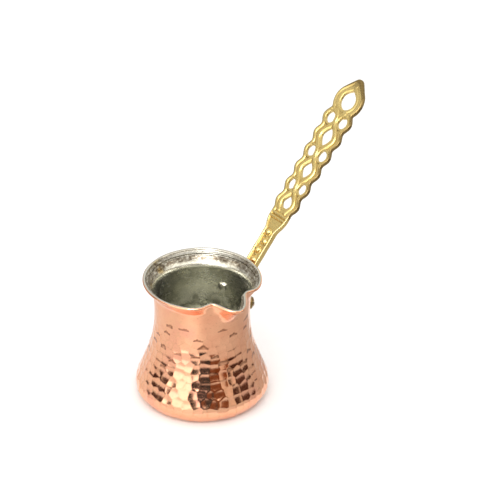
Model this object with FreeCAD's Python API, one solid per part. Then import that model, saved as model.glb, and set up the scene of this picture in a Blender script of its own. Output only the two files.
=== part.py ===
"""A small cezve: a hammered copper pot for boiling coffee, with a tinned inside and a cast brass handle.

The pot is one raised copper shell. Its wall rises from a rounded foot to a narrow neck, then flares to a
rolled rim, and the rim is pinched into a pouring spout a quarter turn from the handle. A thin tin lining
covers the whole inside. The handle is one openwork brass casting: a foot that wraps the neck, a beaded
shank, and a chain of loops that ends in a drop-shaped eye. Two rivets hold its foot to the neck.

Frame, in millimetres: the origin is the centre of the resting face, +Z is the axis of the pot, and the
handle points along +X.
"""

import FreeCAD, Part
import math
import os

from FreeCAD import Vector

# ---------------------------------------------------------------- pot, driving dimensions
RIM_HEIGHT = 72.6        # resting face to the top of the rolled rim
MOUTH_RADIUS = 32.5      # outside of the rolled rim
RIM_BEAD_RADIUS = 0.85   # rolled edge
NECK_HEIGHT = 51.0       # where the wall is narrowest
NECK_RADIUS = 26.0
CREASE_STEP = 0.6        # the neck opens this much before it turns sharply into the flare
CREASE_DEPTH = 7.6       # from the rim down to that turn
CREASE_BEND = 2.0        # size of the turn
RIM_INSET = 1.1          # the sheet meets the rolled edge this far inside the mouth radius
RIM_DROP = 1.75          # and this far below the top of it
FOOT_RADIUS = 28.7       # flat resting face
CORNER_RADIUS = 7.8      # rounding from the resting face into the belly
BELLY_LEAN = 18.8        # degrees past vertical where the rounding ends and the waist begins
WALL = 1.0               # copper sheet
TIN = 0.3                # lining

# ---------------------------------------------------------------- spout
SPOUT_AZIMUTH = -95.0    # degrees from the handle
SPOUT_REACH = 5.8        # how far the lip stands past the round of the rim
SPOUT_SPREAD = 12.5      # degrees, half width of the lip
LIP_DROP = 1.2           # the lip lies a little lower than the rim
PINCHES = ((-22.0, 4.0), (22.5, 3.6))  # degrees from the lip, and depth: one side is pinched harder
PINCH_SPREAD = 11.0
PINCH_RISE = 0.2         # the pinched flare stands steeper, so its edge is higher by this share of the depth
SPOUT_START = 57.0       # height where the wall begins to lean out to the lip
PINCH_START = 63.5       # height where the pinches begin: they fold the flare back upright

# ---------------------------------------------------------------- handle
HANDLE_TILT = 49.4       # degrees above the horizontal
SHANK_START = (34.6, 69.3)  # radius and height of the handle's mid line beside the rim
SHANK_HALF_WIDTH = 4.1
SHANK_LENGTH = 20.0
HANDLE_LENGTH = 116.0    # from beside the rim to the tip
SHANK_THICKNESS = 3.2
LACE_THICKNESS = 2.3
FLOOR_DEPTH = 0.9        # how far the shank and panel floors lie below their borders
BORDER_WIDTH = 1.3
PEARL_RADIUS = 2.0
PEARL_STATIONS = (2.0, 7.8, 13.5, 19.2)
CROSS_BAR = 28.3         # along the handle, the bar across the panel

LACE_START = 32.0        # where the solid panel ends and the openwork begins
LACE_END = 95.5
FIRST_PAIR = 48.0        # along the handle, centre of the first pair of round holes
LOOP_PITCH = 21.1        # between one pair of holes and the next
PAIRS = 3
GROWTH = 0.05            # each pair of holes is larger than the one before it by this share
HOLE_RADIUS = 2.95
HOLE_OFFSET = 4.35       # from the mid line to the centre of a round hole
RING_WIDTH = 1.2         # raised ring round each hole
DIAMOND_HALF_WIDTH = 3.4
DIAMOND_HALF_LENGTHS = (4.2, 4.8, 5.4)
WEB_DROP = 0.55          # the web lies this far below the strands
CORD_LIFT = 0.3          # the crossing cords stand this far above them
STRAND_HALF_WIDTH = 1.1
NARROWING = 0.13         # share of its width that the openwork loses before the eye

EYE_CENTRE = 102.2
EYE_HALF_WIDTH = 10.3
EYE_TIP_RADIUS = 3.4
EYE_HOLE_HALF_WIDTH = 5.2
EYE_HOLE_TIP = 108.4
EYE_HOLE_TIP_RADIUS = 0.7
EYE_EDGE = 1.5           # width of the raised edge round the outside of the eye

# ---------------------------------------------------------------- foot and rivets
FOOT_THICKNESS = 2.2
SINK = 0.45              # how far the uncut foot reaches into the wall
ROOT_START = 9.5         # the shank runs back this far from beside the rim, over the foot
RIVET_HEIGHT = 53.5
RIVET_AZIMUTH = 25.0     # degrees to each side of the handle
RIVET_RADIUS = 1.6
RIVET_HEAD_RADIUS = 2.7
INNER_HEAD_HEIGHT = 1.3
OUTER_HEAD_HEIGHT = 0.7  # beaten flatter than the inner head
INNER_SEAT_GAP = 0.15    # a flat head on a round wall stands off it by this much at its middle
OUTER_SEAT_GAP = 0.2
LOBE_RADIUS = 4.0
BAR_HALF_HEIGHT = 2.9    # bar of the foot between its two lobes
FOOT_BOTTOM = 49.5
FOOT_TOP = 61.0

RING_POINTS = 90


# ---------------------------------------------------------------- pot wall
def bezier(points, share):
    """Point and unit tangent of a cubic Bezier curve in (radius, height)."""
    a, b, c, d = points
    keep = 1.0 - share
    weights = (keep**3, 3 * keep**2 * share, 3 * keep * share**2, share**3)
    place = [sum(w * p[k] for w, p in zip(weights, points)) for k in (0, 1)]
    slopes = (keep**2, 2 * keep * share, share**2)
    legs = ((a, b), (b, c), (c, d))
    tangent = [sum(w * (q[k] - p[k]) for w, (p, q) in zip(slopes, legs)) for k in (0, 1)]
    length = math.hypot(*tangent)
    return place, (tangent[0] / length, tangent[1] / length)


def wall_stations():
    """(radius, height, outward normal) up the outside of the wall, from the resting face to the rim."""
    stations = []
    lean = math.radians(BELLY_LEAN)
    steps = 7
    for i in range(steps + 1):
        angle = -math.pi / 2 + (lean + math.pi / 2) * i / steps
        normal = (math.cos(angle), math.sin(angle))
        radius = FOOT_RADIUS + CORNER_RADIUS * normal[0]
        height = CORNER_RADIUS * (1 + normal[1])
        stations.append((radius, height, normal))
    belly_top = stations[-1][:2]
    waist_pull, neck_pull = 13.0, 19.0
    waist = (
        belly_top,
        (belly_top[0] - waist_pull * math.sin(lean), belly_top[1] + waist_pull * math.cos(lean)),
        (NECK_RADIUS, NECK_HEIGHT - neck_pull),
        (NECK_RADIUS, NECK_HEIGHT),
    )
    crease = (NECK_RADIUS + CREASE_STEP, RIM_HEIGHT - CREASE_DEPTH)
    below = (crease[0] - 0.05, crease[1] - CREASE_BEND)
    neck = (waist[-1], (NECK_RADIUS, NECK_HEIGHT + 5.0), (below[0] - 0.1, below[1] - 3.0), below)
    rim = (MOUTH_RADIUS - RIM_INSET, RIM_HEIGHT - RIM_DROP)
    run = math.hypot(rim[0] - crease[0], rim[1] - crease[1])
    slope = ((rim[0] - crease[0]) / run, (rim[1] - crease[1]) / run)
    above = (crease[0] + CREASE_BEND * slope[0], crease[1] + CREASE_BEND * slope[1])
    bend = (
        below,
        (below[0] + 0.03, below[1] + 0.6 * CREASE_BEND),
        (above[0] - 0.6 * CREASE_BEND * slope[0], above[1] - 0.6 * CREASE_BEND * slope[1]),
        above,
    )
    third = ((rim[0] - above[0]) / 3, (rim[1] - above[1]) / 3)
    flare = tuple((above[0] + k * third[0], above[1] + k * third[1]) for k in range(4))
    for curve, count in ((waist, 7), (neck, 4), (bend, 4), (flare, 3)):
        for i in range(1, count + 1):
            place, tangent = bezier(curve, i / count)
            stations.append((place[0], place[1], (tangent[1], -tangent[0])))
    return stations


def bump(offset, spread):
    return math.exp(-((offset / spread) ** 2))


def eased(value, low, high):
    """Smooth change from 0 at low to 1 at high."""
    share = min(max((value - low) / (high - low), 0.0), 1.0)
    return share * share * (3 - 2 * share)


def spout_change(azimuth, height):
    """(outward, upward) change that the spout makes to the round wall."""
    edge = RIM_HEIGHT - RIM_BEAD_RADIUS
    offset = (azimuth - SPOUT_AZIMUTH + 180.0) % 360.0 - 180.0
    pinch = sum(depth * bump(offset - place, PINCH_SPREAD) for place, depth in PINCHES)
    pinch *= eased(height, PINCH_START, edge)
    lip = bump(offset, SPOUT_SPREAD) * eased(height, SPOUT_START, edge)
    return SPOUT_REACH * lip - pinch, PINCH_RISE * pinch - LIP_DROP * lip


def ring(station, depth, along=0.0):
    """Closed curve round the pot, depth millimetres under the outside at a station and along past it."""
    radius, height, normal = station
    inset = depth * normal[0] + along * normal[1]
    rise = along * normal[0] - depth * normal[1]
    points = []
    for i in range(RING_POINTS):
        azimuth = 360.0 * i / RING_POINTS
        outward, upward = spout_change(azimuth, height)
        turn = math.radians(azimuth)
        step = 0.01
        growth = spout_change(azimuth + step, height)[0] - outward
        swing = turn - math.atan2(growth / math.radians(step), radius + outward)
        reach = radius + outward
        x = reach * math.cos(turn) - inset * math.cos(swing)
        y = reach * math.sin(turn) - inset * math.sin(swing)
        points.append(Vector(x, y, height + rise + upward))
    curve = Part.BSplineCurve()
    curve.interpolate(points, PeriodicFlag=True)
    return Part.Wire(curve.toShape())


def skin(rings):
    return Part.makeLoft(rings, False).Faces


def band(ring_a, ring_b):
    return [Part.makeRuledSurface(ring_a.Edges[0], ring_b.Edges[0])]


def closed_solid(faces):
    shell = Part.makeShell(faces)
    shell.sewShape()
    solid = Part.makeSolid(shell)
    if solid.Volume < 0:
        solid.reverse()
    return solid


def rim_rings(station):
    """Rings round the rolled edge, from the outside of the sheet over the top to its inside."""
    stand = math.sqrt(RIM_BEAD_RADIUS**2 - (WALL / 2) ** 2)
    start = math.asin(WALL / 2 / RIM_BEAD_RADIUS)
    steps = 8
    rings = []
    for i in range(steps + 1):
        angle = start + (2 * math.pi - 2 * start) * i / steps
        depth = WALL / 2 - RIM_BEAD_RADIUS * math.sin(angle)
        rings.append(ring(station, depth, stand - RIM_BEAD_RADIUS * math.cos(angle)))
    return rings


def pot_and_lining(stations):
    """Copper sheet with its rolled rim, and the tin on its inner face."""
    outside = [ring(s, 0.0) for s in stations]
    inside = [ring(s, WALL) for s in stations]
    tinned = [ring(s, WALL + TIN) for s in stations]
    copper_faces = skin(outside) + skin(rim_rings(stations[-1])) + skin(inside)
    copper_faces += [Part.Face(outside[0]), Part.Face(inside[0])]
    tin_faces = skin(inside) + skin(tinned) + band(inside[-1], tinned[-1])
    tin_faces += [Part.Face(inside[0]), Part.Face(tinned[0])]
    return closed_solid(copper_faces), closed_solid(tin_faces)


def neck_band(stations, thickness):
    """Ring of metal round the neck. It starts inside the wall, and the wall is cut out of it later."""
    near = [ring(s, SINK) for s in stations]
    far = [ring(s, -thickness) for s in stations]
    return closed_solid(skin(near) + skin(far) + band(near[0], far[0]) + band(near[-1], far[-1]))


# ---------------------------------------------------------------- handle, drawn flat: x along, y across, z up
def half_width(along):
    """Half width of the openwork: it swells beside every opening and narrows before the eye."""
    middle = 7.9 + 0.036 * (along - 40.0)
    width = middle + math.cos(4 * math.pi * (along - FIRST_PAIR) / LOOP_PITCH)
    return width * (1 - NARROWING * eased(along, LACE_END - 3.0, LACE_END + 2.0))


def outer_strand(along):
    return half_width(along) - STRAND_HALF_WIDTH


def crossing_cord(along):
    """The cords lie together between each pair of holes and part round the diamonds."""
    turn = math.pi * (along - FIRST_PAIR) / LOOP_PITCH
    reach = DIAMOND_HALF_WIDTH + STRAND_HALF_WIDTH + 0.02 * (along - 40.0)
    wave = math.sin(turn)
    return reach * math.copysign(abs(wave) ** 1.9, wave) + STRAND_HALF_WIDTH / 2 * math.cos(turn)


def smooth_edge(points):
    curve = Part.BSplineCurve()
    curve.interpolate(points)
    return curve.toShape()


def prism(edges, low, high):
    """Flat closed outline, raised from low to high."""
    face = Part.Face(Part.Wire(edges))
    face.translate(Vector(0, 0, low))
    return face.extrude(Vector(0, 0, high - low))


def ribbon(path, start, end, half, low, high, step=1.5):
    """A strand that follows path(along) across the handle."""
    count = max(4, round((end - start) / step))
    left, right = [], []
    for i in range(count + 1):
        along = start + (end - start) * i / count
        slope = (path(along + 0.01) - path(along - 0.01)) / 0.02
        length = math.hypot(1.0, slope)
        normal = (-slope / length, 1.0 / length)
        left.append(Vector(along + half * normal[0], path(along) + half * normal[1], 0))
        right.append(Vector(along - half * normal[0], path(along) - half * normal[1], 0))
    edges = [
        smooth_edge(left),
        Part.makeLine(left[-1], right[-1]),
        smooth_edge(right[::-1]),
        Part.makeLine(right[0], left[0]),
    ]
    return prism(edges, low, high)


def mirrored(shape):
    return shape.mirror(Vector(0, 0, 0), Vector(0, 1, 0))


def panel_edge(along):
    """Half width of the solid panel between the shank and the openwork."""
    share = min(max((along - SHANK_LENGTH) / (LACE_START - SHANK_LENGTH), 0.0), 1.0)
    widening = half_width(LACE_START) - SHANK_HALF_WIDTH
    return SHANK_HALF_WIDTH + widening * math.sin(share * math.pi / 2)


def drop(centre, half, tip, tip_radius, low, high):
    """Rounded drop: a circle at centre, drawn out to a small circle that ends at tip."""
    small = tip - tip_radius
    lean = math.acos((half - tip_radius) / (small - centre))
    wide = Vector(centre + half * math.cos(lean), half * math.sin(lean), 0)
    near_tip = Vector(small + tip_radius * math.cos(lean), tip_radius * math.sin(lean), 0)
    wide_low, near_low = Vector(wide.x, -wide.y, 0), Vector(near_tip.x, -near_tip.y, 0)
    edges = [
        Part.Arc(wide, Vector(centre - half, 0, 0), wide_low).toShape(),
        Part.makeLine(wide_low, near_low),
        Part.Arc(near_low, Vector(tip, 0, 0), near_tip).toShape(),
        Part.makeLine(near_tip, wide),
    ]
    return prism(edges, low, high)


def eye_and_hole():
    """Drop-shaped eye at the end of the handle, to hang the pot by: a sunk face inside a raised edge."""
    half = LACE_THICKNESS / 2
    outside = drop(EYE_CENTRE, EYE_HALF_WIDTH, HANDLE_LENGTH, EYE_TIP_RADIUS, -half, half)
    sunk_half = EYE_HALF_WIDTH - EYE_EDGE
    sunk_tip_radius = EYE_TIP_RADIUS - EYE_EDGE
    sunk = drop(EYE_CENTRE, sunk_half, HANDLE_LENGTH - EYE_EDGE, sunk_tip_radius, half - WEB_DROP, half + 1)
    hole = drop(
        EYE_CENTRE, EYE_HOLE_HALF_WIDTH, EYE_HOLE_TIP, EYE_HOLE_TIP_RADIUS, -SHANK_THICKNESS, SHANK_THICKNESS
    )
    return outside.cut(sunk), hole


def pair_places():
    """(along, across, growth) of every round hole."""
    places = []
    for number in range(PAIRS):
        for side in (-1, 1):
            grown = 1 + GROWTH * number
            places.append((FIRST_PAIR + LOOP_PITCH * number, side * HOLE_OFFSET * grown, grown))
    return places


def round_post(place, radius, low, high):
    along, across, grown = place
    return Part.makeCylinder(radius * grown, high - low, Vector(along, across, low))


def diamond(number, low, high):
    """Diamond opening with soft corners, half a pitch before a pair of holes."""
    centre = FIRST_PAIR + LOOP_PITCH * (number - 0.5)
    length = DIAMOND_HALF_LENGTHS[number]
    width = DIAMOND_HALF_WIDTH * (1 + GROWTH * number)
    points = []
    count = 32
    for i in range(count):
        turn = 2 * math.pi * i / count
        x, y = math.cos(turn), math.sin(turn)
        x, y = (math.copysign(abs(v) ** 1.45, v) for v in (x, y))
        points.append(Vector(centre + length * x, width * y, 0))
    curve = Part.BSplineCurve()
    curve.interpolate(points, PeriodicFlag=True)
    return prism([curve.toShape()], low, high)


def lace():
    """Openwork: a web pierced by round holes and diamonds, with raised rings, cords and outer strands."""
    half = LACE_THICKNESS / 2
    start, end = LACE_START - 1.0, LACE_END + 1.0
    count = 60
    upper = []
    for i in range(count + 1):
        along = start + (end - start) * i / count
        upper.append(Vector(along, half_width(along) - STRAND_HALF_WIDTH / 2, 0))
    lower = [Vector(p.x, -p.y, 0) for p in upper[::-1]]
    web_edges = [
        smooth_edge(upper),
        Part.makeLine(upper[-1], lower[0]),
        smooth_edge(lower),
        Part.makeLine(lower[-1], upper[0]),
    ]
    pieces = [prism(web_edges, -half, half - WEB_DROP)]
    outer = ribbon(outer_strand, start, end, STRAND_HALF_WIDTH, -half, half)
    cord = ribbon(crossing_cord, start, LACE_END, STRAND_HALF_WIDTH, -half, half + CORD_LIFT)
    pieces += [outer, mirrored(outer), cord, mirrored(cord)]
    pieces += [round_post(place, HOLE_RADIUS + RING_WIDTH, -half, half) for place in pair_places()]
    deep = SHANK_THICKNESS
    holes = [round_post(place, HOLE_RADIUS, -deep, deep) for place in pair_places()]
    holes += [diamond(number, -deep, deep) for number in range(PAIRS)]
    return pieces, holes


def shank_and_panel():
    """Beaded shank and the panel that widens from it: sunk floors inside raised borders."""
    half = SHANK_THICKNESS / 2
    floor_top = half - FLOOR_DEPTH
    corners = [
        Vector(-ROOT_START, -SHANK_HALF_WIDTH, 0),
        Vector(SHANK_LENGTH, -SHANK_HALF_WIDTH, 0),
        Vector(SHANK_LENGTH, SHANK_HALF_WIDTH, 0),
        Vector(-ROOT_START, SHANK_HALF_WIDTH, 0),
    ]
    floor = prism(Part.makePolygon(corners + corners[:1]).Edges, -half, floor_top)
    steps = 6
    upper = []
    for i in range(steps + 1):
        along = SHANK_LENGTH + (LACE_START - SHANK_LENGTH) * i / steps
        upper.append(Vector(along, panel_edge(along), 0))
    lower = [Vector(p.x, -p.y, 0) for p in upper[::-1]]
    panel_edges = [
        smooth_edge(upper),
        Part.makeLine(upper[-1], lower[0]),
        smooth_edge(lower),
        Part.makeLine(lower[-1], upper[0]),
    ]
    pieces = [floor, prism(panel_edges, -half, floor_top)]
    border_half = BORDER_WIDTH / 2
    for start, end in ((-ROOT_START, SHANK_LENGTH), (SHANK_LENGTH, LACE_START)):
        border = ribbon(lambda x: panel_edge(x) - border_half, start, end, border_half, -half, half)
        pieces += [border, mirrored(border)]
    reach = panel_edge(CROSS_BAR) - border_half
    corner = Vector(CROSS_BAR - border_half, -reach, -half)
    pieces.append(Part.makeBox(BORDER_WIDTH, 2 * reach, 2 * half, corner))
    pieces += [Part.makeSphere(PEARL_RADIUS, Vector(x, 0, floor_top)) for x in PEARL_STATIONS]
    return pieces


def flat_handle():
    """The whole casting above the rim, lying flat with its mid plane at z = 0."""
    eye, eye_hole = eye_and_hole()
    lace_pieces, holes = lace()
    pieces = shank_and_panel() + lace_pieces + [eye]
    whole = pieces[0].multiFuse(pieces[1:]).cut(holes + [eye_hole])
    thick, thin, end = SHANK_THICKNESS / 2, LACE_THICKNESS / 2, HANDLE_LENGTH + 1
    above = 1.0
    profile = [
        Vector(-ROOT_START, 0, -thick),
        Vector(SHANK_LENGTH, 0, -thick),
        Vector(LACE_START, 0, -thin),
        Vector(end, 0, -thin),
        Vector(end, 0, thin + above),
        Vector(LACE_START, 0, thin + CORD_LIFT),
        Vector(SHANK_LENGTH, 0, thick + above),
        Vector(-ROOT_START, 0, thick + above),
    ]
    side = Part.Face(Part.makePolygon(profile + profile[:1]))
    side.translate(Vector(0, -2 * EYE_HALF_WIDTH, 0))
    return whole.common(side.extrude(Vector(0, 4 * EYE_HALF_WIDTH, 0)))


# ---------------------------------------------------------------- handle foot
def on_handle(along, above):
    """(x, z) of a place along the tilted handle and above its mid line."""
    tilt = math.radians(HANDLE_TILT)
    x = SHANK_START[0] + along * math.cos(tilt) - above * math.sin(tilt)
    z = SHANK_START[1] + along * math.sin(tilt) + above * math.cos(tilt)
    return x, z


def foot_outline():
    """Foot seen along +X: a lobe round each rivet, joined by a bar, and a stem up to the shank."""
    start, reach = NECK_RADIUS - 8.0, 20.0
    stem_corner = Vector(start, -SHANK_HALF_WIDTH, FOOT_BOTTOM)
    stem = Part.makeBox(reach, 2 * SHANK_HALF_WIDTH, FOOT_TOP - FOOT_BOTTOM, stem_corner)
    rivet_y = (NECK_RADIUS + FOOT_THICKNESS) * math.sin(math.radians(RIVET_AZIMUTH))
    bar_corner = Vector(start, -rivet_y, RIVET_HEIGHT - BAR_HALF_HEIGHT)
    bar = Part.makeBox(reach, 2 * rivet_y, 2 * BAR_HALF_HEIGHT, bar_corner)
    shape = stem.fuse(bar)
    for side in (-1, 1):
        centre = Vector(start, side * rivet_y, RIVET_HEIGHT)
        shape = shape.fuse(Part.makeCylinder(LOBE_RADIUS, reach, centre, Vector(1, 0, 0)))
    return shape


def foot_plate(stations):
    near_foot = [s for s in stations if 40 < s[1] < 66]
    return neck_band(near_foot, FOOT_THICKNESS).common(foot_outline())


def shank_root():
    """Solid that bends from the foot into the tilted shank. It also starts inside the wall."""
    half = SHANK_THICKNESS / 2
    back = NECK_RADIUS - SINK
    front = NECK_RADIUS + FOOT_THICKNESS
    points = [
        (back, FOOT_BOTTOM + 1.0),
        (front, FOOT_BOTTOM + 1.0),
        (front + 0.3, RIVET_HEIGHT + 3.0),
        on_handle(-9.0, -half),
        on_handle(-6.0, -half),
        on_handle(-6.0, half),
        on_handle(-11.5, half),
        (back, FOOT_TOP),
    ]
    corners = [Vector(x, -SHANK_HALF_WIDTH, z) for x, z in points]
    side = Part.Face(Part.makePolygon(corners + corners[:1]))
    return side.extrude(Vector(0, 2 * SHANK_HALF_WIDTH, 0))


def rivet_hole(side):
    turn = math.radians(side * RIVET_AZIMUTH)
    axis = Vector(math.cos(turn), math.sin(turn), 0)
    before, length = 6.0, 14.0
    start = axis * (NECK_RADIUS - before) + Vector(0, 0, RIVET_HEIGHT)
    return Part.makeCylinder(RIVET_RADIUS, length, start, axis)


def rivet_head(seat, height, direction):
    """Domed head on the rivet's axis, here along +X, with its flat side at seat."""
    dome = (RIVET_HEAD_RADIUS**2 + height**2) / (2 * height)
    rim_latitude = math.degrees(math.acos(RIVET_HEAD_RADIUS / dome))
    centre = Vector(seat + direction * (height - dome), 0, 0)
    return Part.makeSphere(dome, centre, Vector(direction, 0, 0), rim_latitude, 90, 360)


def rivet(side):
    """Shank with a domed head on the tin inside and a flatter one on the foot outside."""
    inner_seat = NECK_RADIUS - WALL - TIN - INNER_SEAT_GAP
    outer_seat = NECK_RADIUS + FOOT_THICKNESS + OUTER_SEAT_GAP
    shank = Part.makeCylinder(
        RIVET_RADIUS, outer_seat - inner_seat, Vector(inner_seat, 0, 0), Vector(1, 0, 0)
    )
    inner_head = rivet_head(inner_seat, INNER_HEAD_HEIGHT, -1)
    outer_head = rivet_head(outer_seat, OUTER_HEAD_HEIGHT, 1)
    solid = shank.fuse([inner_head, outer_head])
    solid.rotate(Vector(0, 0, 0), Vector(0, 0, 1), side * RIVET_AZIMUTH)
    solid.translate(Vector(0, 0, RIVET_HEIGHT))
    return solid


# ---------------------------------------------------------------- assembly
def place_handle(shape):
    shape = shape.copy()
    shape.rotate(Vector(0, 0, 0), Vector(0, 1, 0), -HANDLE_TILT)
    shape.translate(Vector(SHANK_START[0], 0, SHANK_START[1]))
    return shape


def build():
    stations = wall_stations()
    body, lining = pot_and_lining(stations)
    foot = shank_root().fuse(foot_plate(stations)).cut(body)
    handle = place_handle(flat_handle()).fuse(foot)
    for side in (-1, 1):
        hole = rivet_hole(side)
        body = body.cut(hole)
        lining = lining.cut(hole)
        handle = handle.cut(hole)
    rivets = Part.makeCompound([rivet(side) for side in (-1, 1)])
    return {"pot_body": body, "tin_lining": lining, "handle": handle, "handle_rivets": rivets}


def main():
    os.makedirs("parts", exist_ok=True)
    for name, shape in build().items():
        solids = sorted(shape.Solids, key=lambda s: -s.Volume)
        sizes = [round(s.Volume, 2) for s in solids]
        print(name, "solids", sizes, "valid", shape.isValid(), shape.BoundBox)
        shape.exportStep(f"parts/{name}.step")


main()
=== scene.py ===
"""Looks of a small cezve: hammered copper outside, wiped tin inside, a cast brass handle and its rivets.

Every visible piece is modelled here in metres, in the part's own frame: +Z is the pot's axis, the handle
points along +X and the spout towards -Y. Shapes are worked out in millimetres and scaled once, in mesh().
"""

import math

import bpy
import numpy as np
from mathutils import Matrix, Vector


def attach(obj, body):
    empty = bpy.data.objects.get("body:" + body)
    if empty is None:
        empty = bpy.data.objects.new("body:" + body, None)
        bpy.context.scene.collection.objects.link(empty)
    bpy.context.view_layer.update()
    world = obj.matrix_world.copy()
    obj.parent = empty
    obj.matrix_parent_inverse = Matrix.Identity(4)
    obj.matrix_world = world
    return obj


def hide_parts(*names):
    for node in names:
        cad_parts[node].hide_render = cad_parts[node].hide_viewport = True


MM = 0.001
SEED = 7

# ---- pot, in millimetres
RIM_HEIGHT = 72.6
MOUTH_RADIUS = 32.5
BEAD = 0.85
RIM_INSET, RIM_DROP = 1.1, 1.75  # from the mouth's edge to where the sheet meets the rolled bead
NECK_HEIGHT, NECK_RADIUS = 51.0, 26.0
CREASE_STEP, CREASE_DEPTH, CREASE_BEND = 0.6, 7.6, 2.0
FOOT_RADIUS, CORNER_RADIUS = 28.7, 7.8
BELLY_LEAN = math.radians(18.8)
BELLY_PULL, WAIST_PULL, THROAT_PULL, CREASE_PULL = 13.0, 19.0, 5.0, 3.0  # handles of the wall's curves
CORNER_STEPS = 60
WALL, TIN = 1.0, 0.3
BASE_HOLLOW = 0.12       # the middle of the resting face stands this much off the table
SKIN_GAP = 0.01          # keeps the hidden side of the tin off the copper

SPOUT_AZIMUTH, SPOUT_REACH, SPOUT_SPREAD, LIP_DROP = -95.0, 5.8, 12.5, 1.2
PINCHES = ((-22.0, 4.0), (22.5, 3.6))
PINCH_SPREAD, PINCH_RISE = 11.0, 0.2
SPOUT_START, PINCH_START = 57.0, 63.5

ROW_PITCH = 5.0          # hammer rows up the wall
BLOW_PITCH = 5.0         # hammer blows along a row
BLOW_CURVE = 0.031       # how hollow each blow is, in 1/mm
BLOW_TILT = 0.035        # how far the blows lean at random, in radians
BLOW_SCATTER = 0.075, 0.06, 0.035  # sideways and upways as shares of the two pitches, and in depth
HAMMER_FADE, HAMMER_TOP = 36.0, 60.0  # the blows fade out between these heights
LAP_HEIGHTS = 20.0, 32.0, 52.0  # the painted shade in the laps comes in over the first two and goes out from the third
LAP_LUCK = 0.50          # only luckier blows get painted shade in the lap above them
RIDGE_WIDTH = 0.035      # of the painted shade along the ridges between blows (partly oxide), as a difference in height
RIM_RINGS = (0.34, 1.5, 0.42), (-0.16, 0.7, 0.3), (-0.14, 2.4, 0.4)  # height, distance from the rim, width

# ---- handle, in millimetres
TILT = math.radians(49.4)
SHANK_START = (34.6, 69.3)
SHANK_HALF, SHANK_LENGTH, SHANK_ROOT = 4.1, 20.0, -10.5
PEARLS, GROOVE_BARS = (2.0, 7.8, 13.5, 19.0), (-1.2, 4.8, 10.7, 16.3)
PANEL_END, PANEL_HALF, PANEL_BARS = 28.5, 6.7, (27.8, 29.9)
BORDER_HALF, STRAND_HALF, CORD_HALF = 0.62, 1.1, 1.2
HANDLE_LENGTH = 116.0
THICK, LACE_THICK = 3.2, 2.3
FIRST_PAIR, LOOP_PITCH = 48.0, 21.1
LACE_START, LACE_END = 32.0, 95.5
LACE_HALF, LACE_WIDENING, SCALLOP = 7.9, 0.036, 1.0
CORD_GAP, CORD_WIDENING, CORD_CURL, CORD_SWAY = 1.3, 0.02, 1.9, 0.55
WIDTH_PLACE = 40.0       # where the widths above are measured
EYE_CENTRE, EYE_HALF, EYE_TIP_RADIUS = 102.2, 10.3, 3.4
EYE_HOLE_HALF, EYE_HOLE_TIP, EYE_HOLE_TIP_RADIUS = 5.2, 108.4, 0.7
FOOT_THICK, FOOT_ARC = 2.2, 27.1  # the foot is drawn flat and rolled up on the arc's radius
FOOT_BAR_HALF, FOOT_LOBE = 3.1, 4.2
FOOT_TOP = 66.0          # below this height the casting is kept out of the neck
RIVET_HEIGHT, RIVET_AZIMUTH = 53.5, 25.0
RIVET_HEAD, RIVET_SHANK, INNER_DOME, OUTER_DOME = 2.7, 1.6, 1.3, 0.7
HOLE_RADIUS, HOLE_OFFSET = 2.95, 4.35
DIAMOND_HALF_WIDTH, DIAMOND_HALF_LENGTHS, DIAMOND_CURL = 3.4, (4.2, 4.8, 5.4), 1.45
VOXEL = 0.25


# ---- mesh helpers
def mesh(name, points, faces, material, smooth=True):
    """Object from points in millimetres and a list of faces."""
    data = bpy.data.meshes.new(name)
    data.from_pydata((np.asarray(points) * MM).tolist(), [], [list(map(int, f)) for f in faces])
    data.update()
    data.polygons.foreach_set("use_smooth", [smooth] * len(data.polygons))
    piece = bpy.data.objects.new(name, data)
    bpy.context.scene.collection.objects.link(piece)
    data.materials.append(material)
    return piece


def store(piece, name, values):
    """One number per vertex, read by the material."""
    layer = piece.data.attributes.new(name, "FLOAT", "POINT")
    layer.data.foreach_set("value", np.asarray(values, dtype=np.float32).ravel())


def grid_faces(rows, columns, wrap=True):
    """Quads between rows of points. Each row closes on itself when wrap is true."""
    across = np.arange(columns if wrap else columns - 1)
    faces = []
    for row in range(rows - 1):
        base = row * columns
        nearer = base + across
        farther = base + (across + 1) % columns
        faces.append(np.stack([nearer, farther, farther + columns, nearer + columns], axis=1))
    return np.concatenate(faces)


def fan(centre, ring, flip):
    """Triangles that close a ring of points onto its centre."""
    following = np.roll(ring, -1)
    first, second = (following, ring) if flip else (ring, following)
    return [(centre, a, b) for a, b in zip(first, second)]


# ---- pot wall
def bezier(points, steps):
    """Points of a cubic Bezier curve, without its first point."""
    share = np.linspace(0, 1, steps + 1)[1:, None]
    a, b, c, d = (np.array(p, float) for p in points)
    keep = 1 - share
    return keep**3 * a + 3 * keep**2 * share * b + 3 * keep * share**2 * c + share**3 * d


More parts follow.
